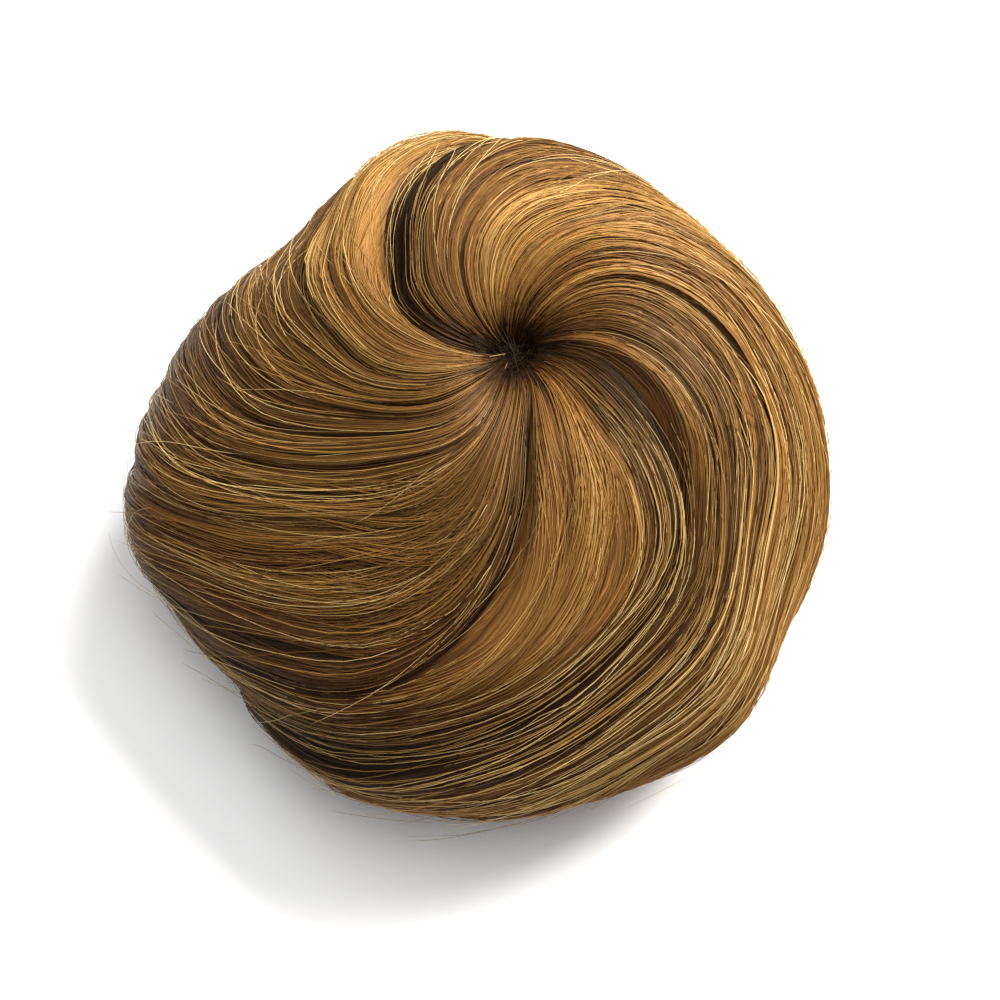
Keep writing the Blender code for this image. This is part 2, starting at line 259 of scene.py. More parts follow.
def between(t, start, end, slope_start, slope_end):
    """A smooth value at a share t of the way from a start to an end, with the slope at both."""
    return ((2 * t - 3) * t * t + 1) * start + ((t - 2) * t + 1) * t * slope_start \
        + (3 - 2 * t) * t * t * end + (t - 1) * t * t * slope_end


def around(azimuth, column):
    """A smooth value of a column of the outline, that goes once round by azimuth."""
    azimuth = azimuth % 360
    count = len(OUTLINE)
    after = np.searchsorted(OUTLINE[:, 0], azimuth, side="right")
    x, y = [], []
    for k in range(-2, 2):
        row = after + k
        x.append(OUTLINE[row % count, 0] + 360 * (row // count))
        y.append(OUTLINE[row % count, column])
    span = x[2] - x[1]
    t = (azimuth - x[1]) / span
    slope_1 = (y[2] - y[0]) / (x[2] - x[0]) * span
    slope_2 = (y[3] - y[1]) / (x[3] - x[1]) * span
    return between(t, y[1], y[2], slope_1, slope_2)


def smooth(x):
    """0 below 0, 1 above 1 and a soft step between."""
    x = np.clip(x, 0.0, 1.0)
    return x * x * (3 - 2 * x)


def unit(vectors):
    """The same directions with a length of 1."""
    return vectors / np.maximum(np.linalg.norm(vectors, axis=-1, keepdims=True), 1e-9)


# The locks begin at the s where the outer surface is as wide as the pit
START = degrees(atan2(1, sqrt((OUTLINE[:, RADIUS].mean() / PIT_RADIUS) ** SHOULDER - 1))) / 90


def outer(s, azimuth):
    """Points of the even outer surface."""
    radius, rim, crown = (around(azimuth, c) for c in (RADIUS, RIM_HEIGHT, CROWN_HEIGHT))
    way = np.stack((np.cos(np.radians(azimuth)), np.sin(np.radians(azimuth))), axis=-1)
    angle = pi / 2 * s
    out = np.sin(np.clip(angle, 0, pi / 2)) ** (2 / SHOULDER)
    top = way * (radius * out)[..., None] + WHORL * (1 - out * out)[..., None]
    height = rim + (crown - rim) * np.maximum(np.cos(angle), 0.0) ** (2 / SHOULDER)
    near = np.exp(-((out / WHORL_REACH) ** 2))
    height = height + (WHORL_HEIGHT - height) * near - DIP_DEPTH * np.exp(-((out / DIP_REACH) ** 2))
    foot = CAP_RADIUS + HAIR_TO_CAP + FOOT_WIDTH
    under = way * (foot + (radius - foot) * np.sin(angle))[..., None]
    below = s > 1
    plan = np.where(below[..., None], under, top)
    height = np.where(below, rim * (1 + np.cos(angle)), height)
    return np.concatenate((plan, height[..., None]), axis=-1)


def inner(s, azimuth):
    """Points of the hair's inner surface, next to the cap."""
    radius = CAP_RADIUS + HAIR_TO_CAP
    height = CAP_HEIGHT + HAIR_TO_CAP
    pit = degrees(atan2(1, sqrt((radius / PIT_RADIUS) ** 2 - 1)))
    out = np.sin(np.radians(pit + (90 - pit) * (s - START) / (2 - START)))
    way = np.stack((np.cos(np.radians(azimuth)), np.sin(np.radians(azimuth))), axis=-1)
    plan = way * (radius * out)[..., None] + WHORL * (1 - out)[..., None]
    z = height * np.sqrt(np.maximum(0.0, 1 - (plan ** 2).sum(-1) / radius ** 2))
    return np.concatenate((plan, z[..., None]), axis=-1)


def turn(lock, s):
    """The azimuth of a lock's first line at s."""
    turns = np.array(lock.turns, dtype=float)
    slopes = np.gradient(turns, TURNS_AT, edge_order=1)
    slopes[1:-1] = (turns[2:] - turns[:-2]) / (TURNS_AT[2:] - TURNS_AT[:-2])
    s = np.clip(s, 0, 2)
    i = np.clip(np.searchsorted(TURNS_AT, s, side="right") - 1, 0, len(TURNS_AT) - 2)
    span = TURNS_AT[i + 1] - TURNS_AT[i]
    return between((s - TURNS_AT[i]) / span, turns[i], turns[i + 1],
                   slopes[i] * span, slopes[i + 1] * span)


def lock_azimuth(i, s, share):
    """The azimuth at s and a share of the width of lock i."""
    first, last = turn(LOCKS[i], s), turn(FOLLOWING[i], s)
    return first + (last - first) * share


def lifts(lock, s):
    """How far a lock's first, middle and last strands stand out at s."""
    fallen = smooth((s - FALL_START) / (FALL_END - FALL_START))
    calm = 1 - CALM * smooth((s - CALM_START) / (CALM_END - CALM_START))
    calm = calm * smooth(s / SOFT_START) * smooth((2 - s) / SOFT_END)
    return [(near + (low - near) * fallen) * calm for near, low in zip(lock.near, lock.low)]


def petal(lock, s, share):
    """How far a lock stands out from the even surface, at a share of its width."""
    first, middle, last = lifts(lock, s)
    return np.where(share < 0.5, first + (middle - first) * smooth(share * 2),
                    middle + (last - middle) * smooth(share * 2 - 1))


def width_at(i, s):
    """The measured width of lock i at s, in millimetres."""
    return np.interp(s, WIDTHS_AT, LOCK_WIDTHS[i])


def valley_depth(i, s, share):
    """How deep the valleys of lock i are at a place."""
    depth = np.zeros(np.broadcast(s, share).shape)
    for valley in VALLEYS:
        if valley.lock != LOCKS[i].name:
            continue
        t = (s - valley.begin) / (valley.end - valley.begin)
        middle = valley.share_begin + (valley.share_end - valley.share_begin) * np.clip(t, 0, 1)
        across = (share - middle) * width_at(i, s) / (valley.width / 2)
        depth = depth + valley.depth * np.exp(-(across ** 2)) * smooth(t * 4) * smooth((1 - t) * 4)
    return depth


def ledge_height(i, s):
    """How far the last strands of lock i stand above the first ones of the lock that follows."""
    return lifts(LOCKS[i], s)[2] - lifts(FOLLOWING[i], s)[0]


def edge_drop(i, s, share):
    """How far the last strands of lock i round down to a lower lock that follows."""
    near_edge = np.clip(1 - (1 - share) * width_at(i, s) / EDGE_ROUND, 0, 1.15)
    return np.maximum(ledge_height(i, s), 0.0) * near_edge ** 2


def form_shade(i, s, share):
    """Painted shade of lock i below a ledge and in a valley, less a painted highlight on its edge.
    """
    below = share * width_at(i, s) / LEDGE_REACH
    edge = (1 - share) * width_at(i, s) / LEDGE_REACH
    shade = np.clip(ledge_height(i - 1, s) * LEDGE_SHADE, 0, 0.3) \
        * (np.exp(-(below ** 2)) + 0.8 * np.exp(-((below * 4) ** 2)))
    light = np.maximum(ledge_height(i, s), 0.0) * EDGE_LIGHT * np.exp(-(edge ** 2))
    return shade - light + VALLEY_SHADE * valley_depth(i, s, share)


def lock_stand(i, s, share):
    """How far lock i stands out from the even surface, with its valleys and its rounded edge."""
    return petal(LOCKS[i], s, share) - valley_depth(i, s, share) - edge_drop(i, s, share)


def hair_form(s, azimuth):
    """How far the hair stands out from the even surface, and the painted shade that its form gets.
    """
    stand, dark = np.zeros(azimuth.shape), np.zeros(azimuth.shape)
    for i, lock in enumerate(LOCKS):
        first, last = turn(lock, s), turn(FOLLOWING[i], s)
        share = ((first - azimuth) % 360) / (first - last)
        here = share < 1
        share, there = share[here], s[here]
        stand[here] = lock_stand(i, there, share)
        dark[here] = form_shade(i, there, share)
    return stand, dark


def on_lock(i, s, share, proud):
    """Points of lock i at s and a share of its width, proud of its form, and their way out."""
    azimuth = lock_azimuth(i, s, share)
    top = outer(s, azimuth)
    ray = unit(top - inner(s, azimuth))
    return top + ray * (lock_stand(i, s, np.clip(share, 0, 1)) + proud)[..., None], ray


def on_hair(s, azimuth, proud):
    """Points proud of the hair's form at s and an azimuth, their way out and their painted shade.
    """
    top = outer(s, azimuth)
    ray = unit(top - inner(s, azimuth))
    stand, dark = hair_form(s, azimuth)
    return top + ray * (stand + proud)[..., None], ray, dark


def painted_light_and_shade(lock, s):
    """The painted light and shade on a lock's hair at s, as tone added to its own."""
    return np.interp(s, PAINTED_LIGHT_AND_SHADE_AT, PAINTED_LIGHT_AND_SHADE.get(lock.name, (0.0,) * len(PAINTED_LIGHT_AND_SHADE_AT)))


def lock_width(i, s):
    """The width of a lock in millimetres, square to its strands."""
    s = np.array([s - 0.01, s + 0.01])
    first = on_lock(i, s, np.zeros(2), np.zeros(2))[0]
    last = on_lock(i, s, np.ones(2), np.zeros(2))[0]
    along = unit(((first + last) / 2)[1] - ((first + last) / 2)[0])
    across = (last - first).mean(axis=0)
    return float(np.linalg.norm(across - along * (across @ along)))


# The valleys lie by the locks' widths, so a first guess stands in while the widths are measured
LOCK_WIDTHS = [np.full(len(WIDTHS_AT), 30.0)] * len(LOCKS)
LOCK_WIDTHS = [np.array([lock_width(i, s) for s in WIDTHS_AT]) for i in range(len(LOCKS))]


def lock_ways(i, count):
    """Shares of the way from the whorl to the foot, closer together where the strands turn."""
    s = np.linspace(0.0, 1.0, 400) ** 1.2 * (HAIR_END - START) + START
    points = on_lock(i, s, np.full(len(s), 0.5), np.zeros(len(s)))[0]
    steps = np.diff(points, axis=0)
    ways = unit(steps)
    bend = np.degrees(np.arccos(np.clip((ways[1:] * ways[:-1]).sum(-1), -1, 1)))
    cost = bend / BEND_A_POINT + np.linalg.norm(steps[1:], axis=1) / RUN_A_POINT
    # fewer under the rim, where the hair is in shade
    cost = np.where(s[1:-1] > 1.2, cost * 0.5, cost)
    cost = np.concatenate(([0], np.cumsum(cost), [0]))
    cost[-1] = cost[-2] + 0.01
    return (np.interp(np.linspace(0, cost[-1], count), cost, s) - START) / (HAIR_END - START)


def lock_clumps(i, hair):
    """The bundles that a lock is made of."""
    rng = np.random.default_rng(hair.seed + CLUMP_SEED_STEP * i)
    count = max(3, round(lock_width(i, 0.8) / (hair.clump_width / MM)))
    return [Clump(
        centre=(k + 0.5 + rng.uniform(-0.22, 0.22)) / count,
        width=rng.uniform(0.85, 1.35) / count,
        phase=rng.uniform(0, 2 * pi),
        rate=rng.uniform(0.5, 1.3),
        wander=rng.uniform(0.1, 0.4) / count,
        lift=rng.normal(0, 0.28),
        tone=rng.normal(0, 0.07),
    ) for k in range(count)]


def clump_middle(clump, s):
    """Where a clump's middle lies across its lock."""
    return clump.centre + clump.wander * np.sin(2 * pi * clump.rate * s + clump.phase)


def pulled_flat(s, loss):
    """What is left of a bundle's height from the rim on, where the hair is pulled flat."""
    return 1 - loss * smooth((s - 0.6) / 0.3)


def clump_lift(clump, s):
    """How far a clump rises and sinks on its way."""
    wave = 0.35 * np.sin(2 * pi * clump.rate * 0.8 * s + 1.7 * clump.phase)
    return (clump.lift + wave) * pulled_flat(s, 0.6)


def bundle_form(lock, clumps, ridge, s, share):
    """How far a lock's bundles stand out at a place, and the tone of the one on top."""
    best = np.full(np.broadcast(s, share).shape, -0.4 - 0.8 * lock.gaps)
    tone = np.zeros(best.shape)
    for clump in clumps:
        off = (share - clump_middle(clump, s)) / clump.width * 2
        height = clump_lift(clump, s) - ridge * lock.gaps * off ** 2 * pulled_flat(s, 0.4)
        tone = np.where(height > best, clump.tone, tone)
        best = np.maximum(best, height)
    return best, tone


def bundles_shown(s):
    """How much of the bundles' form shows: none in the whorl and at the foot."""
    return smooth(s / 0.25) * smooth((2 - s) / 0.3)


def either(rng, mask, true_range, false_range):
    """A draw from one range where a mask is true and from another where it isn't."""
    return np.where(mask, rng.uniform(*true_range, len(mask)), rng.uniform(*false_range, len(mask)))


def waves(rng, rates, s):
    """A sine of s for each strand, with a rate and a phase of its own."""
    rate, phase = rng.uniform(*rates, len(s)), rng.uniform(0, 2 * pi, len(s))
    return np.sin(2 * pi * rate[:, None] * s + phase[:, None])


def tubes(points, out, thickness):
    """Closed three-sided tubes along rows of points, as vertices and faces, in metres."""
    rows, count, _ = points.shape
    along = unit(np.gradient(points, axis=1))
    side = unit(np.cross(along, out))
    up = np.cross(side, along)
    angles = radians(90) + np.arange(3) * 2 * pi / 3
    ring = up[:, :, None] * np.sin(angles)[:, None] + side[:, :, None] * np.cos(angles)[:, None]
    verts = (points[:, :, None] + ring * (thickness / 2)[..., None, None] - CENTRE) * MM
    index = np.arange(rows * count * 3).reshape(rows, count, 3)
    near, far = index[:, :-1], index[:, 1:]
    quads = np.stack((near, np.roll(near, -1, axis=2), np.roll(far, -1, axis=2), far), axis=-1)
    ends = np.concatenate((index[:, 0, ::-1], index[:, -1]))
    return verts.reshape(-1, 3), quads.reshape(-1, 4), ends


def placed(point):
    """A point in the source's millimetres as a place in the frame, in metres."""
    return Vector((np.array(point) - CENTRE) * MM)


def mesh_of(name, bm):
    """A mesh with the shape of a bmesh, which is freed."""
    mesh = bpy.data.meshes.new(name)
    bm.to_mesh(mesh)
    bm.free()
    return mesh


def finish_piece(name, mesh, material, replaced=None):
    """An object for a finished mesh riding on the hairpiece, standing for a CAD node if one is
    named.
    """
    mesh.materials.append(material)
    mesh.shade_smooth()
    mesh.update()
    piece = bpy.data.objects.new(name, mesh)
    bpy.context.scene.collection.objects.link(piece)
    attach(piece, "root")
    if replaced:
        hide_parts(replaced)
    return piece


def strand_piece(name, points, out, thickness, tones, warmths):
    """One joined mesh of strands, with a tone and a warmth on every point."""
    verts, quads, ends = tubes(points, out, thickness)
    mesh = bpy.data.meshes.new(name)
    mesh.from_pydata(verts.tolist(), [], quads.tolist() + ends.tolist())
    for label, values in (("tone", tones), ("warmth", warmths)):
        rows = values if values.ndim == 2 else values[:, None]
        spread = np.broadcast_to(rows, points.shape[:2]).reshape(-1)
        layer = mesh.attributes.new(label, "FLOAT", "POINT")
        layer.data.foreach_set("value", np.repeat(spread, 3).astype(np.float32))
    material = bpy.data.materials.get("synthetic_fibre_strands") or strand_material()
    return finish_piece(name, mesh, material)


def set_inputs(tree, node, inputs):
    """Gives a node's inputs, by name or place, a value or another node's output."""
    for place, value in inputs.items():
        if isinstance(value, bpy.types.NodeSocket):
            tree.links.new(value, node.inputs[place])
        else:
            node.inputs[place].default_value = value


def add_node(tree, kind, inputs=None, **settings):
    """Adds a node with its settings and its inputs' values and links."""
    node = tree.nodes.new("ShaderNode" + kind)
    for name, value in settings.items():
        setattr(node, name, value)
    set_inputs(tree, node, inputs or {})
    return node


def set_ramp(node, stops):
    """Gives a colour ramp its (place, hex colour) stops."""
    ramp = node.color_ramp
    while len(ramp.elements) < len(stops):
        ramp.elements.new(0.5)
    for element, (place, colour) in zip(ramp.elements, stops):
        element.position = place
        element.color = linear(colour)


def new_material(name):
    """A node material with its tree and its shader."""
    material = bpy.data.materials.new(name)
    material.use_nodes = True
    tree = material.node_tree
    return material, tree, tree.nodes["Principled BSDF"]


# Heat-set synthetic fibre: a smooth drawn filament, so each strand has a narrow bright line along
# its round side, and the blend of dyed filaments shows as dark, golden and pale ones side by side
STOPS_AT = (0.0, 0.28, 0.52, 0.76, 1.0)
WARM_STOPS = tuple(zip(STOPS_AT, ("#1A0D06", "#442812", "#6E4820", "#986D35", "#CFAC6E")))
ASH_STOPS = tuple(zip(STOPS_AT, ("#170F08", "#422F19", "#6B4C25", "#93743F", "#CDB47C")))
SHEEN_TINT = "#F2D9AE"


def fibre_colour(tree, tone):
    """The blend's colour for a tone, between ash and copper by the warmth of the strand."""
    warm = add_node(tree, "ValToRGB", {0: tone})
    set_ramp(warm, WARM_STOPS)
    ash = add_node(tree, "ValToRGB", {0: tone})
    set_ramp(ash, ASH_STOPS)
    warmth = add_node(tree, "Attribute", attribute_name="warmth")
    mix = add_node(tree, "MixRGB", {"Fac": warmth.outputs["Fac"], "Color1": ash.outputs["Color"],
                                    "Color2": warm.outputs["Color"]})
    return mix.outputs["Color"]


def strand_material():
    """Single drawn filaments. How dye and a painted sheen drift along each is in the tones of its
    points.
    """
    material, tree, shader = new_material("synthetic_fibre_strands")
    tone = add_node(tree, "Attribute", attribute_name="tone")
    set_inputs(tree, shader, {
        "Base Color": fibre_colour(tree, tone.outputs["Fac"]),
        "Roughness": 0.42,
        "Specular IOR Level": 0.21,
        "Specular Tint": linear(SHEEN_TINT),
    })
    return material


def mass_material():
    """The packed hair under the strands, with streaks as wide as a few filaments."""
    material, tree, shader = new_material("synthetic_fibre_mass")
    tone = add_node(tree, "Attribute", attribute_name="tone")
    place = add_node(tree, "Attribute", attribute_name="fibre_place")
    # 4.5 streaks a millimetre across the strands, each about 25 mm long
    scaled = add_node(tree, "Mapping", {"Vector": place.outputs["Vector"],
                                        "Scale": (4.5, 0.04, 1.0)})
    streak = add_node(tree, "TexNoise", {"Vector": scaled.outputs["Vector"], "Scale": 1.0,
                                         "Detail": 3.0})
    # the noise stays near 0.5, so the streaks lie about 0.1 darker than the tone in the mean
    shift = add_node(tree, "Math", {0: streak.outputs["Fac"], 1: 1.5, 2: tone.outputs["Fac"]},
                     operation="MULTIPLY_ADD")
    level = add_node(tree, "Math", {0: shift.outputs[0], 1: 0.85}, operation="SUBTRACT")
    bump = add_node(tree, "Bump", {"Height": streak.outputs["Fac"], "Strength": 0.6,
                                   "Distance": 0.4 * MM})
    set_inputs(tree, shader, {
        "Base Color": fibre_colour(tree, level.outputs[0]),
        "Normal": bump.outputs["Normal"],
        "Roughness": 0.5,
        "Specular IOR Level": 0.2,
        "Specular Tint": linear(SHEEN_TINT),
    })
    return material


class TopKnotHair(bpy.types.PropertyGroup):
    """The locks and their strands."""

    strands: bpy.props.IntProperty(
        name="Strands", description="Strands on all locks together", default=3300, min=100)
    thickness: bpy.props.FloatProperty(
        name="Strand Thickness", description="Mean thickness of a visible strand",
        default=0.17 * MM, subtype="DISTANCE", unit="LENGTH", precision=5)
    clump_width: bpy.props.FloatProperty(
        name="Bundle Width", description="Mean width of the bundles that the strands run in",
        default=3.0 * MM, subtype="DISTANCE", unit="LENGTH", precision=4)
    ridge: bpy.props.FloatProperty(
        name="Bundle Height",
        description="How far a bundle's middle stands out from its sides, at a gap depth of 1",
        default=0.6 * MM, subtype="DISTANCE", unit="LENGTH", precision=4)
    seed: bpy.props.IntProperty(name="Seed", description="Start of the random draws", default=11)


class TopKnotLoose(bpy.types.PropertyGroup):
    """Hairs that have left the swirl."""

    flyaways: bpy.props.IntProperty(
        name="Flyaways", description="Single hairs that stand off the bun", default=600)
    loose_ends: bpy.props.FloatProperty(
        name="Loose Ends", description="Loose hairs and tufts, as a share of the usual ones",
        default=1.0, min=0.0)
    whorl_hairs: bpy.props.IntProperty(
        name="Whorl Hairs", description="Short hairs that cross the whorl", default=130)
    reach: bpy.props.FloatProperty(
        name="Reach", description="How far a flyaway stands off at most", default=5.0 * MM,
        subtype="DISTANCE", unit="LENGTH")


class TopKnotFittings(bpy.types.PropertyGroup):
    """The net cap and the comb."""

    net_colour: bpy.props.FloatVectorProperty(
        name="Net Colour", description="Colour of the knitted net and its elastic", size=4,
        subtype="COLOR", default=linear("#2B1E17"), min=0, max=1)
    comb_colour: bpy.props.FloatVectorProperty(
        name="Comb Colour", description="Colour of the moulded comb", size=4, subtype="COLOR",
        default=linear("#3A2417"), min=0, max=1)


class TopKnotStage(bpy.types.PropertyGroup):
    """Camera, floor and lights."""

    elevation: bpy.props.FloatProperty(
        name="Camera Elevation", description="How steeply the camera looks down",
        default=radians(68), subtype="ANGLE", unit="ROTATION")
    distance: bpy.props.FloatProperty(
        name="Camera Distance", description="From the camera to the bun", default=0.62,
        subtype="DISTANCE", unit="LENGTH")
    view_width: bpy.props.FloatProperty(
        name="View Width", description="Width of the view at the bun", default=0.1686,
        subtype="DISTANCE", unit="LENGTH")
    floor_colour: bpy.props.FloatVectorProperty(
        name="Floor Colour", description="Colour of the plain floor", size=4, subtype="COLOR",
        default=linear("#FCFCFC"), min=0, max=1)
    key_power: bpy.props.FloatProperty(
        name="Key Light", description="Power of the soft light from the upper right", default=17.0,
        subtype="POWER", unit="POWER")


class TOPKNOT_OT_lock_masses(bpy.types.Operator):
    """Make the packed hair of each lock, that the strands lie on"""

    bl_idname = "top_knot.lock_masses"
    bl_label = "Make Lock Masses"

    columns = 48
    rows = 34
    # how deep the skin lies under the hair's form, how much its columns differ, how far the lowest
    # points stay off the floor, and how much wider than its lock a mass is, to lap its neighbours
    sunk = 0.6
    uneven = 0.11
    off_floor = 0.05
    lap = 0.03
    end = 1.985
    # how much darker than the strands the packed hair is, and how much more painted shade it gets
    # in the whorl
    darker = 0.12
    painted_whorl_shade = 0.42

    def execute(self, context):
        hair = context.scene.top_knot_hair
        material = mass_material()
        for i, lock in enumerate(LOCKS):
            bm = bmesh.new()
            for label in ("share", "way", "tone", "warmth"):
                bm.verts.layers.float.new(label)
            place = bm.verts.layers.float_vector.new("fibre_place")
            layers = bm.verts.layers.float
            bmesh.ops.create_grid(bm, x_segments=self.columns, y_segments=self.rows, size=1.0)
            for vert in bm.verts:
                vert[layers["share"]] = (vert.co.x + 1) / 2
                vert[layers["way"]] = (vert.co.y + 1) / 2
            skin = bmesh.ops.extrude_face_region(bm, geom=bm.faces[:])
            under = {g for g in skin["geom"] if isinstance(g, bmesh.types.BMVert)}
            verts = list(bm.verts)
            share = np.array([v[layers["share"]] for v in verts])
            way = np.array([v[layers["way"]] for v in verts])
            begin = START * 0.9
            s = begin + (self.end - begin) * way ** 1.25
            best, tone = bundle_form(lock, lock_clumps(i, hair), hair.ridge / MM, s, share)
            shown = bundles_shown(s)
            # each column of the skin is a few filaments that lie a little higher or lower
            rng = np.random.default_rng(hair.seed + MASS_SEED + i)
            columns = rng.normal(0, self.uneven, self.columns + 1)
            proud = best * shown - self.sunk + columns[np.rint(share * self.columns).astype(int)]
            top, _ = on_lock(i, s, 0.5 + (share - 0.5) * (1 + self.lap * shown), proud)
            low = inner(s, lock_azimuth(i, s, share))
            is_low = np.array([v in under for v in verts])
            points = np.where(is_low[:, None], low, top)
            points[:, 2] = np.maximum(points[:, 2], self.off_floor)
            # painted shade in the whorl, below ledges and in valleys, less a painted highlight on
            # raised edges
            shade = self.painted_whorl_shade * smooth(1 - s / 0.16) + form_shade(i, s, share)
            tones = lock.tone + tone - self.darker + painted_light_and_shade(lock, s) - shade
            # millimetres across and along the strands, with each lock on a stretch of its own
            across = share * lock_width(i, 0.9) + 40 * i
            for k, vert in enumerate(verts):
                vert.co = placed(points[k])
                vert[layers["tone"]] = tones[k]
                vert[layers["warmth"]] = lock.warmth
                vert[place] = Vector((across[k], s[k] * 70, 0))
            bmesh.ops.recalc_face_normals(bm, faces=bm.faces)
            name = "hair_mass_" + lock.name
            finish_piece(name, mesh_of(name, bm), material, "lock_" + lock.name)
        return {"FINISHED"}


class TOPKNOT_OT_lock_strands(bpy.types.Operator):
    """Lay the strands of each lock in bundles from the whorl over the rim to the foot"""

    bl_idname = "top_knot.lock_strands"
    bl_label = "Lay Lock Strands"

    points = 32
    off_floor = 0.25
    # a few strands that lie together, over this many millimetres, share a tone and a depth
    few_width = 0.7
    # most strands begin in the pit and end at the foot, the others on the way
    pit_chance, pit_begin, late_begin = 0.75, (0.012, 0.085), (0.09, 0.7)
    foot_chance, foot_end, early_end = 0.8, (1.75, 1.95), (1.15, 1.75)
    in_pit = 0.088
    # the share of strands that stray from their bundle, how far they do, and how deep strands lie
    stray_chance, stray_sway, bundle_sway = 0.10, (0.3, 0.9), (0.02, 0.18)
    stray_depth, bundle_depth = (-0.4, 0.0), (0.0, 0.32)
    # a few strands are pale or dark, whatever their lock
    pale_chance, pale_tone = 0.008, 0.78
    dark_chance, dark_tone = 0.03, 0.18

    def execute(self, context):
        hair = context.scene.top_knot_hair
        widths = [sum(lock_width(i, s) for s in (0.4, 0.7, 1.0, 1.3)) for i in range(len(LOCKS))]
        for i, lock in enumerate(LOCKS):
            self.lay(i, lock, hair, round(hair.strands * widths[i] / sum(widths)))
        return {"FINISHED"}

    def lay(self, i, lock, hair, count):
        """Lays the strands of one lock."""
        rng = np.random.default_rng(hair.seed + STRAND_SEED + i)
        clumps = lock_clumps(i, hair)
        sizes = np.array([c.width for c in clumps])
        which = rng.choice(len(clumps), size=count, p=sizes / sizes.sum())
        begin = either(rng, rng.random(count) < self.pit_chance, self.pit_begin, self.late_begin)
        finish = either(rng, rng.random(count) < self.foot_chance, self.foot_end, self.early_end)
        # each strand's points lie a little further on than the next one's, so that no bend lines up
        steps = np.arange(self.points) + rng.uniform(-0.5, 0.5, count)[:, None]
        steps[:, 0], steps[:, -1] = 0, self.points - 1
        ways = np.interp(steps, np.arange(self.points), lock_ways(i, self.points))
        s = begin[:, None] + (finish - begin)[:, None] * ways

        # across the lock, each strand follows the middle of its bundle and sways beside it
        off = np.clip(rng.normal(0, 0.6, count), -1.3, 1.3)
        width, centre, tone = np.array([(c.width, c.centre, c.tone) for c in clumps])[which].T
        middle = np.empty_like(s)
        for k, clump in enumerate(clumps):
            middle[which == k] = clump_middle(clump, s[which == k])
        stray = rng.random(count) < self.stray_chance
        sway = either(rng, stray, self.stray_sway, self.bundle_sway)[:, None]
        swing = waves(rng, (0.3, 0.9), s)
        share = middle + (off[:, None] + sway * swing * 1.4) * width[:, None] / 2

        # in the fan, strands come out of the crease one after the other and turn into their bundle
        chance, begin_first, begin_last = TUCKED.get(lock.name, (0.0, 0.1, 0.1))
        tucked = (rng.random(count) < chance) & (begin < 0.3) & ~stray
        aim = np.clip(centre + off * width / 2, 0, 1)
        emerge = begin_first + (begin_last - begin_first) * aim + rng.normal(0, 0.02, count)
        begin = np.where(tucked, np.maximum(emerge, 0.09), begin)
        s = begin[:, None] + (finish - begin)[:, None] * ways
        along, left = s - begin[:, None], finish[:, None] - s
        under = np.clip(1 - along / TUCKED_TURN, 0, 1) ** 2 * tucked[:, None]
        azimuth = lock_azimuth(i, s, share)
        crease = turn(LOCKS[NAMES.index(CREASE)], s) - 1.0
        azimuth = azimuth + (crease - azimuth) * under

        # a few strands together are a little darker or lighter, and lie lower or higher
        depth = either(rng, stray, self.stray_depth, self.bundle_depth)
        few = max(4, round(lock_width(i, 0.7) / self.few_width))
        nearest = (aim * few).astype(int)
        depth = depth + rng.normal(0, 0.09, few + 1)[nearest]
        few_tones = rng.normal(0, 0.05, few + 1)[nearest]
        form, _ = bundle_form(lock, clumps, hair.ridge / MM, s, np.clip(share, 0, 1))
        proud = form * bundles_shown(s) - depth[:, None]

        # full strands dive into the pit, the others come up out of the lock and sink back into it
        dive = rng.uniform(0.5, 6.0, count)[:, None] * smooth(1 - s / 0.07)
        rise = 2.2 * smooth(1 - along / 0.1) * (begin > self.in_pit)[:, None]
        rise = rise * np.where(tucked, 0.6, 1.0)[:, None]
        sink = 2.0 * smooth(1 - left / 0.12) * (finish < self.foot_end[0])[:, None]
        points, ray, dark = on_hair(s, azimuth, proud - dive - rise - sink)
        points[..., 2] = np.maximum(points[..., 2], self.off_floor)
        thickness = np.clip(rng.normal(1.0, 0.2, count), 0.55, 1.6) * hair.thickness / MM
        thickness = thickness[:, None] * np.ones(self.points)
        thickness[:, 0] *= 0.5
        thickness[:, -1] *= 0.35

        # strands that lie deeper get painted shade, 0.10 of tone for each millimetre
        tones = lock.tone + tone + few_tones + rng.normal(0, 0.045, count) - 0.10 * depth
        odd = rng.random(count)
        tones = np.where(odd < self.pale_chance, self.pale_tone,
                         np.where(odd > 1 - self.dark_chance, self.dark_tone, tones))
        # painted shade on the hair in the whorl, uneven round it, and where it comes out from under
        # a lock
        painted_whorl_patch = 0.34 + 0.12 * np.sin(np.radians(3 * azimuth) + 1.2) \
            + 0.08 * np.sin(np.radians(7 * azimuth))
        shade = painted_whorl_patch * smooth(1 - s / 0.11) + 0.22 * smooth(1 - along / 0.12) * tucked[:, None]
        # dye and a painted sheen drift along a filament, under the painted light and shade of its
        # place
        drift = 0.04 * waves(rng, (0.5, 2.0), s)
        tones = tones[:, None] + drift + painted_light_and_shade(lock, s) - dark - shade
        warmths = np.clip(lock.warmth + rng.normal(0, 0.22, count), 0, 1)
        strand_piece("strands_" + lock.name, points, ray, thickness, np.clip(tones, 0.02, 1.0),
                     warmths)


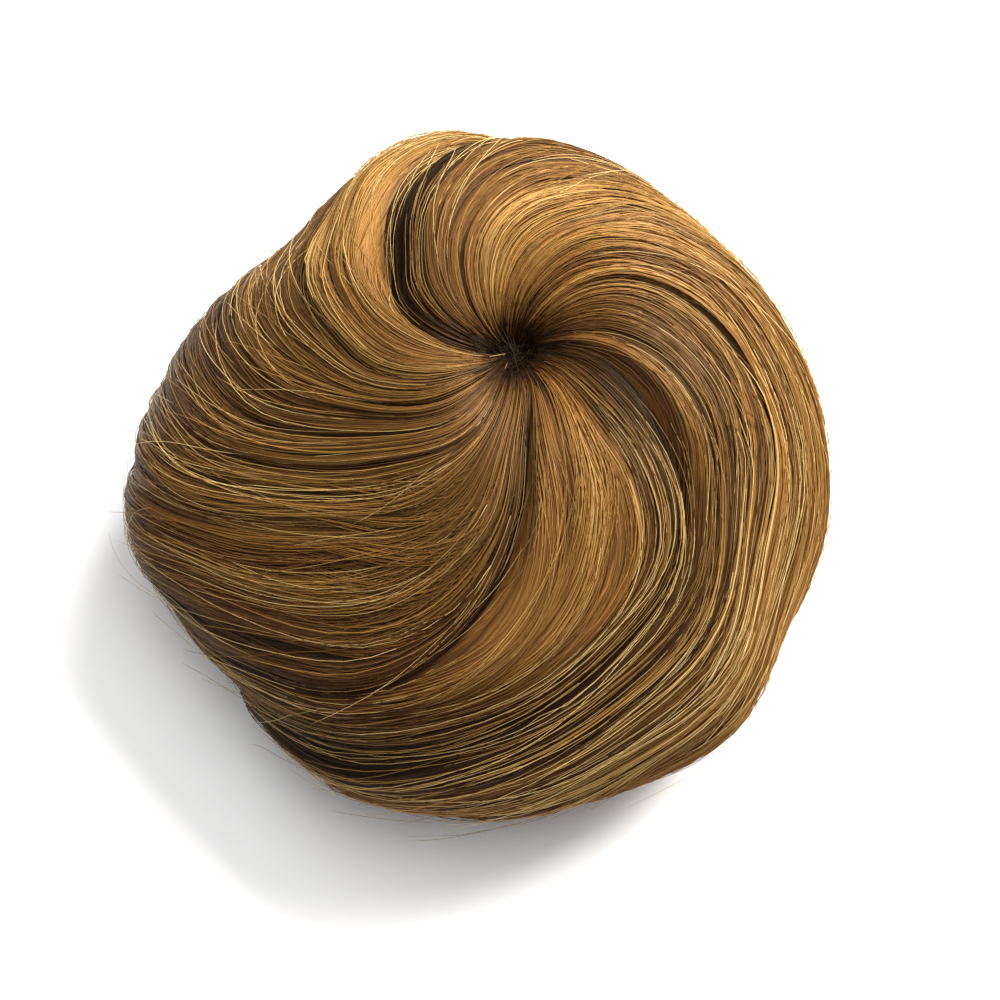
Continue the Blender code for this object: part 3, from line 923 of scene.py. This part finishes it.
class TOPKNOT_OT_whorl_hairs(bpy.types.Operator):
    """Lay the short hairs that cross in the pit of the whorl"""

    bl_idname = "top_knot.whorl_hairs"
    bl_label = "Lay Whorl Hairs"

    tufts = 24
    points = 9
    # the share of these hairs that carry a painted highlight, and the tone of those
    lit_chance, lit_tone = 0.04, 0.5

    def execute(self, context):
        hair, loose = context.scene.top_knot_hair, context.scene.top_knot_loose
        rng = np.random.default_rng(hair.seed + WHORL_SEED)
        count = loose.whorl_hairs
        t = np.linspace(-1, 1, self.points)
        tuft = rng.integers(0, self.tufts, count)
        heading = rng.uniform(0, 2 * pi, self.tufts)[tuft] + rng.normal(0, 0.35, count)
        offset = rng.normal(0, 2.2, self.tufts)[tuft] + rng.normal(0, 0.6, count)
        length = rng.uniform(2.5, 7.5, count)
        bow = rng.uniform(-1.5, 3.0, self.tufts)[tuft] + rng.normal(0, 0.5, count)
        base = rng.uniform(-4.2, -1.2, self.tufts)[tuft] + rng.normal(0, 0.4, count)
        base = base + WHORL_HEIGHT - DIP_DEPTH
        along = t * length[:, None]
        aside = offset[:, None] + bow[:, None] * t * t
        x = along * np.cos(heading)[:, None] - aside * np.sin(heading)[:, None]
        y = along * np.sin(heading)[:, None] + aside * np.cos(heading)[:, None]
        # the pit is a shallow bowl
        z = base[:, None] + 0.05 * (x ** 2 + y ** 2)
        points = np.stack((WHORL[0] + x, WHORL[1] + y, z), axis=-1)
        up = np.broadcast_to(np.array((0.0, 0.0, 1.0)), points.shape)
        thickness = np.full(points.shape[:2], 0.7) * hair.thickness / MM
        thickness[:, (0, -1)] *= 0.4
        # the other whorl hairs are painted near black, the shade in the pit
        tones = np.where(rng.random(count) < self.lit_chance, self.lit_tone,
                         np.clip(rng.normal(0.06, 0.06, count), 0.01, 0.3))
        warmths = np.clip(rng.normal(0.5, 0.2, count), 0, 1)
        strand_piece("whorl_hairs", points, up, thickness, tones, warmths)
        return {"FINISHED"}


class TOPKNOT_OT_loose_ends(bpy.types.Operator):
    """Lay the pale hairs that lie loose over the bun, and the tufts whose cut ends show"""

    bl_idname = "top_knot.loose_ends"
    bl_label = "Lay Loose Ends"

    points = 18

    def execute(self, context):
        hair, loose = context.scene.top_knot_hair, context.scene.top_knot_loose
        rng = np.random.default_rng(hair.seed + LOOSE_SEED)
        t = np.linspace(0, 1, self.points)
        points, rays, thickness, tones = [], [], [], []
        for group in LOOSE_ENDS:
            i = NAMES.index(group.lock)
            # single hairs are finer and paler, and a tuft's hairs get a painted highlight towards
            # their cut ends
            single = group.hairs == 1
            width, pale, painted_end_highlight = (0.6, 0.72, 0.0) if single else (0.7, 0.66, 0.3)
            for _ in range(round(group.tufts * loose.loose_ends)):
                place = rng.uniform(0.08, 0.92)
                drift, shift = rng.normal(0, 0.22), rng.normal(0, 0.05)
                for _ in range(group.hairs):
                    begin = group.begin + shift + rng.normal(0, 0.03)
                    finish = group.finish + shift + rng.normal(0, 0.03)
                    s = begin + (finish - begin) * t
                    share = place + rng.normal(0, 0.035) + (drift + rng.normal(0, 0.05)) * t * t
                    # it comes up out of the lock, lies on it and lifts a little at its end
                    proud = rng.uniform(1.5, 2.0) * smooth(t * 4) - 1.0
                    proud = proud + rng.uniform(0, 1.0) * t ** 4
                    point, ray, _ = on_hair(s, lock_azimuth(i, s, share), proud)
                    points.append(point)
                    rays.append(ray)
                    thickness.append(np.where(t > 0.99, 0.4, 1.0) * width * hair.thickness / MM)
                    tones.append(np.clip(rng.normal(pale, 0.1) + painted_end_highlight * t ** 3, 0.3, 1.0))
        warmths = np.clip(rng.normal(0.5, 0.2, len(points)), 0, 1)
        strand_piece("loose_ends", np.array(points), np.array(rays), np.array(thickness),
                     np.array(tones), warmths)
        return {"FINISHED"}


class TOPKNOT_OT_flyaways(bpy.types.Operator):
    """Lay the single hairs that stand off the bun and off its outline"""

    bl_idname = "top_knot.flyaways"
    bl_label = "Lay Flyaways"

    points = 18
    thickness = 0.085
    off_floor = 0.4
    # the share that stand free at their end, and how much of the reach the others bow out
    free_chance = 0.3
    bow = 0.12
    # no flyaway goes farther under the rim than this
    last = 1.45

    def execute(self, context):
        hair, loose = context.scene.top_knot_hair, context.scene.top_knot_loose
        rng = np.random.default_rng(hair.seed + FLYAWAY_SEED)
        count = loose.flyaways
        t = np.linspace(0, 1, self.points)
        which = rng.integers(0, len(LOCKS), count)
        begin = rng.uniform(0.1, 0.75, count)
        reach = rng.uniform(0.25, 0.75, count)
        drift = rng.normal(0, 0.45, count)
        off = rng.uniform(0.3, 1.0, count) ** 2 * loose.reach / MM
        free = rng.random(count) < self.free_chance
        points = np.empty((count, len(t), 3))
        ray = np.empty_like(points)
        for n in range(count):
            s = np.minimum(begin[n] + reach[n] * t, self.last)
            share = rng.uniform(0, 1) + drift[n] * t ** 1.5
            bow, rise = (1.0, t ** 2) if free[n] else (self.bow, np.sin(pi * t))
            points[n], ray[n] = on_lock(which[n], s, share, -0.5 + (0.9 + off[n] * bow) * rise)
        points[..., 2] = np.maximum(points[..., 2], self.off_floor)
        thickness = np.full((count, len(t)), self.thickness)
        thickness[:, -1] *= 0.4
        tones = np.clip(rng.normal(0.72, 0.2, count), 0.2, 1.0)
        warmths = np.clip(rng.normal(0.4, 0.2, count), 0, 1)
        strand_piece("flyaways", points, ray, thickness, tones, warmths)
        return {"FINISHED"}


def net_material(colour):
    """Knitted nylon net with a sewn elastic: dull yarn, open diamonds 1.6 mm wide."""
    material, tree, shader = new_material("knitted_nylon_net")
    place = add_node(tree, "Attribute", attribute_name="net_place")
    split = add_node(tree, "SeparateXYZ", {0: place.outputs["Vector"]})
    lines = []
    for way in (1.0, -1.0):
        slant = add_node(tree, "Math", {0: split.outputs["X"], 1: way, 2: split.outputs["Y"]},
                         operation="MULTIPLY_ADD")
        # one yarn each 1.6 mm
        wave = add_node(tree, "Math", {0: slant.outputs[0], 1: 2 * pi / 1.6}, operation="MULTIPLY")
        curve = add_node(tree, "Math", {0: wave.outputs[0]}, operation="SINE")
        lines.append(curve.outputs[0])
    yarn = add_node(tree, "Math", {0: lines[0], 1: lines[1]}, operation="MAXIMUM")
    shade = add_node(tree, "MapRange", {"Value": yarn.outputs[0], "From Min": 0.3, "From Max": 0.9})
    # between the yarns the net is open and dark
    mix = add_node(tree, "MixRGB", {"Fac": shade.outputs["Result"], "Color2": tuple(colour),
                                    "Color1": tuple(c * 0.25 for c in colour[:3]) + (1,)})
    bump = add_node(tree, "Bump", {"Height": shade.outputs["Result"], "Strength": 0.8,
                                   "Distance": 0.3 * MM})
    set_inputs(tree, shader, {"Base Color": mix.outputs["Color"], "Normal": bump.outputs["Normal"],
                              "Roughness": 0.85})
    return material


class TOPKNOT_OT_cap(bpy.types.Operator):
    """Make the net cap with its gathered elastic rim and the rows that the wefts are sewn in"""

    bl_idname = "top_knot.cap"
    bl_label = "Make Net Cap"

    steps = 120
    dome_rows = 26
    # the chamfers of the rim's lower edge, and the heights of the rows inside the elastic
    chamfer, chamfer_height = 0.5, 0.6
    elastic_rows = (1.6, 2.6, 3.6, 4.6)
    # a row of weft stitching stands in from the dome every fourth row
    seam_every, seam_depth = 4, 0.35
    # the elastic gathers its casing in ribs 3.2 mm apart
    rib_depth = 0.22

    def execute(self, context):
        fittings = context.scene.top_knot_fittings
        angles = [pi / 2 * k / self.dome_rows for k in range(self.dome_rows + 1)]
        profile = [(CAP_RADIUS * sin(angle), CAP_HEIGHT * cos(angle)) for angle in angles]
        inside = CAP_RADIUS - RIM_THICK
        profile += [(CAP_RADIUS - self.chamfer, 0.0), (inside + self.chamfer, 0.0),
                    (inside, self.chamfer_height)]
        profile += [(inside, z) for z in (*self.elastic_rows, RIM_TALL)]
        low = RIM_TALL + RIM_SLOPE
        wall_height = CAP_HEIGHT - CAP_WALL
        lowest = atan2(sqrt(wall_height ** 2 - low ** 2), low)
        for k in range(self.dome_rows + 1):
            angle = lowest * (1 - k / self.dome_rows)
            sewn = k % self.seam_every == 2 and k < self.dome_rows - 2
            seam = self.seam_depth if sewn else 0.0
            profile.append(((CAP_RADIUS - CAP_WALL - seam) * sin(angle),
                            (wall_height - seam) * cos(angle)))
        bm = bmesh.new()
        verts = [bm.verts.new((r, 0, z)) for r, z in profile]
        edges = [bm.edges.new(pair) for pair in zip(verts, verts[1:])]
        bmesh.ops.spin(bm, geom=verts + edges, cent=(0, 0, 0), axis=(0, 0, 1), angle=2 * pi,
                       steps=self.steps, use_merge=True)
        bmesh.ops.remove_doubles(bm, verts=bm.verts, dist=0.001)
        bmesh.ops.dissolve_degenerate(bm, edges=bm.edges, dist=0.001)
        bmesh.ops.recalc_face_normals(bm, faces=bm.faces)
        place = bm.verts.layers.float_vector.new("net_place")
        for vert in bm.verts:
            radius = vert.co.xy.length
            azimuth = atan2(vert.co.y, vert.co.x)
            in_elastic = radius < inside + 1.2 and 0.3 < vert.co.z < RIM_TALL + 0.2
            if in_elastic:
                vert.co.xy *= 1 + self.rib_depth * cos(azimuth * self.steps / 2) / radius
            vert[place] = Vector((azimuth * CAP_RADIUS, vert.co.z + radius * 0.3, 0))
            vert.co = placed(vert.co)
        finish_piece("net_cap", mesh_of("net_cap", bm), net_material(fittings.net_colour),
                     "base_cap")
        return {"FINISHED"}


def comb_material(colour):
    """Moulded polypropylene: an even brown with a soft gloss and faint flow marks."""
    material, tree, shader = new_material("moulded_polypropylene")
    place = add_node(tree, "TexCoord")
    # flow marks about 6 mm long
    flow = add_node(tree, "TexNoise", {"Vector": place.outputs["Object"], "Scale": 170.0,
                                       "Detail": 2.0})
    mix = add_node(tree, "MixRGB", {"Fac": flow.outputs["Fac"], "Color1": tuple(colour),
                                    "Color2": tuple(min(1.0, c * 1.5) for c in colour[:3]) + (1,)})
    bump = add_node(tree, "Bump", {"Height": flow.outputs["Fac"], "Strength": 0.15,
                                   "Distance": 0.2 * MM})
    set_inputs(tree, shader, {"Base Color": mix.outputs["Color"], "Normal": bump.outputs["Normal"],
                              "Roughness": 0.32})
    return material


def thread_material():
    """Twisted polyester thread: dull, with its plies showing as fine slanting ridges."""
    material, tree, shader = new_material("twisted_polyester_thread")
    place = add_node(tree, "TexCoord")
    # plies about a third of a millimetre apart
    ply = add_node(tree, "TexWave", {"Vector": place.outputs["Object"], "Scale": 900.0,
                                     "Distortion": 1.0})
    mix = add_node(tree, "MixRGB", {"Fac": ply.outputs["Fac"], "Color1": linear("#20140D"),
                                    "Color2": linear("#4A3324")})
    set_inputs(tree, shader, {"Base Color": mix.outputs["Color"], "Roughness": 0.75})
    return material


class TOPKNOT_OT_comb(bpy.types.Operator):
    """Finish the comb and sew its spine to the rim"""

    bl_idname = "top_knot.comb"
    bl_label = "Finish Comb"

    # pairs of thread loops round the spine, in cells of the comb from its middle
    cells = (-3, -1, 1, 3)
    pair_apart = 0.35
    loop_radius = 2.6
    thread_radius = 0.2

    def execute(self, context):
        fittings = context.scene.top_knot_fittings
        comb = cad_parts["comb"]
        comb.data.materials.clear()
        comb.data.materials.append(comb_material(fittings.comb_colour))
        bm = bmesh.new()
        cell_arc = COMB_ARC / (2 * COMB_TEETH - 1)
        middle = CAP_RADIUS - RIM_THICK - COMB_TO_CAP - COMB_THICK / 2
        height = COMB_BOTTOM + COMB_SPINE / 2
        for cell, second in ((cell, second) for cell in self.cells for second in (0, 1)):
            place = cell * 2 + (second - 0.5) * self.pair_apart
            azimuth = radians(COMB_AZIMUTH + cell_arc * place)
            ring = bmesh.ops.create_circle(bm, segments=6, radius=self.thread_radius)
            bmesh.ops.rotate(bm, verts=ring["verts"], matrix=Matrix.Rotation(pi / 2, 3, "X"))
            bmesh.ops.translate(bm, verts=ring["verts"], vec=(self.loop_radius, 0, 0))
            edges = list({e for v in ring["verts"] for e in v.link_edges})
            before = set(bm.verts)
            bmesh.ops.spin(bm, geom=ring["verts"] + edges, cent=(0, 0, 0), axis=(0, 0, 1),
                           angle=2 * pi, steps=20, use_merge=True)
            loop = ring["verts"] + [v for v in bm.verts if v not in before]
            bmesh.ops.rotate(bm, verts=loop, matrix=Matrix.Rotation(pi / 2, 3, "X"))
            bmesh.ops.translate(bm, verts=loop, vec=(middle, 0, height))
            bmesh.ops.rotate(bm, verts=loop, matrix=Matrix.Rotation(azimuth, 3, "Z"))
        bmesh.ops.remove_doubles(bm, verts=bm.verts, dist=0.001)
        bmesh.ops.recalc_face_normals(bm, faces=bm.faces)
        for vert in bm.verts:
            vert.co = placed(vert.co)
        finish_piece("comb_stitches", mesh_of("comb_stitches", bm), thread_material())
        return {"FINISHED"}


def floor_material(colour):
    """Matt card: even and pale, with a faint tooth so that it isn't glassy."""
    material, tree, shader = new_material("matt_card")
    place = add_node(tree, "TexCoord")
    # a tooth of about 1.7 mm
    tooth = add_node(tree, "TexNoise", {"Vector": place.outputs["Object"], "Scale": 600.0,
                                        "Detail": 3.0})
    bump = add_node(tree, "Bump", {"Height": tooth.outputs["Fac"], "Strength": 0.05,
                                   "Distance": 0.3 * MM})
    set_inputs(tree, shader, {"Base Color": tuple(colour), "Normal": bump.outputs["Normal"],
                              "Roughness": 0.9})
    return material


def add_light(name, place, aim, size, power, colour):
    """A square soft light at a place, turned to an aim."""
    data = bpy.data.lights.new(name, "AREA")
    data.shape = "SQUARE"
    data.size = size
    data.energy = power
    data.color = colour
    light = bpy.data.objects.new(name, data)
    light.location = place
    light.rotation_euler = (Vector(aim) - Vector(place)).to_track_quat("-Z", "Y").to_euler()
    bpy.context.scene.collection.objects.link(light)


class TOPKNOT_OT_stage(bpy.types.Operator):
    """Set up the camera, the pale floor and the soft lights"""

    bl_idname = "top_knot.stage"
    bl_label = "Set Up Stage"

    # where the bun stands in the view, in pixels of 1000, and the height that the camera aims at
    view_pixels = 1000
    bun_x = 476.5
    bun_y = 475.0
    bun_height = 26.0 * MM
    floor_size = 1.5
    sensor = 36
    top_share = 0.20
    room_light = 0.45

    def execute(self, context):
        stage = context.scene.top_knot_stage
        scene = context.scene
        bm = bmesh.new()
        bmesh.ops.create_grid(bm, x_segments=1, y_segments=1, size=self.floor_size)
        mesh = mesh_of("floor", bm)
        mesh.materials.append(floor_material(stage.floor_colour))
        floor = bpy.data.objects.new("floor", mesh)
        scene.collection.objects.link(floor)

        back = Vector((0, -cos(stage.elevation), sin(stage.elevation)))
        up = Vector((0, sin(stage.elevation), cos(stage.elevation)))
        pixel = stage.view_width / self.view_pixels
        aim = Vector((-CENTRE[0] * MM, -CENTRE[1] * MM, self.bun_height))
        aim += Vector((1, 0, 0)) * (self.view_pixels / 2 - self.bun_x) * pixel
        aim += up * (self.bun_y - self.view_pixels / 2) * pixel
        data = bpy.data.cameras.new("camera")
        data.sensor_width = self.sensor
        data.lens = self.sensor * stage.distance / stage.view_width
        data.clip_start = 0.01
        camera = bpy.data.objects.new("camera", data)
        camera.location = aim + back * stage.distance
        camera.rotation_euler = (-back).to_track_quat("-Z", "Y").to_euler()
        scene.collection.objects.link(camera)
        scene.camera = camera

        add_light("key", (0.36, 0.34, 0.46), (0, 0, 0.03), 0.50, stage.key_power, (1.0, 0.98, 0.94))
        add_light("top", (0.0, 0.0, 0.8), (0, 0, 0.0), 0.6, stage.key_power * self.top_share,
                  (1.0, 1.0, 1.0))
        world = bpy.data.worlds.new("soft_room")
        world.use_nodes = True
        sky = world.node_tree.nodes["Background"]
        set_inputs(world.node_tree, sky, {"Color": (1.0, 1.0, 1.0, 1), "Strength": self.room_light})
        scene.world = world
        scene.view_settings.view_transform = "Standard"
        return {"FINISHED"}


class TOPKNOT_PT_panel(bpy.types.Panel):
    """Lists the hairpiece's settings and pieces"""

    bl_idname = "TOPKNOT_PT_panel"
    bl_label = "Top Knot Hairpiece"
    bl_space_type = "VIEW_3D"
    bl_region_type = "UI"
    bl_category = "Top Knot"

    def draw(self, context):
        for name, group in GROUPS.items():
            box = self.layout.box()
            for prop in group.__annotations__:
                box.prop(getattr(context.scene, name), prop)
        for operator in OPERATORS:
            self.layout.operator(operator.bl_idname)


GROUPS = {
    "top_knot_hair": TopKnotHair,
    "top_knot_loose": TopKnotLoose,
    "top_knot_fittings": TopKnotFittings,
    "top_knot_stage": TopKnotStage,
}
OPERATORS = (
    TOPKNOT_OT_lock_masses,
    TOPKNOT_OT_lock_strands,
    TOPKNOT_OT_whorl_hairs,
    TOPKNOT_OT_loose_ends,
    TOPKNOT_OT_flyaways,
    TOPKNOT_OT_cap,
    TOPKNOT_OT_comb,
    TOPKNOT_OT_stage,
)


def register():
    for group in GROUPS.values():
        bpy.utils.register_class(group)
    for operator in OPERATORS:
        bpy.utils.register_class(operator)
    bpy.utils.register_class(TOPKNOT_PT_panel)
    for name, group in GROUPS.items():
        setattr(bpy.types.Scene, name, bpy.props.PointerProperty(type=group))


def unregister():
    for name in GROUPS:
        delattr(bpy.types.Scene, name)
    bpy.utils.unregister_class(TOPKNOT_PT_panel)
    for group in (*reversed(OPERATORS), *reversed(GROUPS.values())):
        bpy.utils.unregister_class(group)


def main():
    register()
    bpy.ops.top_knot.lock_masses()
    bpy.ops.top_knot.lock_strands()
    bpy.ops.top_knot.whorl_hairs()
    bpy.ops.top_knot.loose_ends()
    bpy.ops.top_knot.flyaways()
    bpy.ops.top_knot.cap()
    bpy.ops.top_knot.comb()
    bpy.ops.top_knot.stage()


if __name__ == "__main__":
    main()
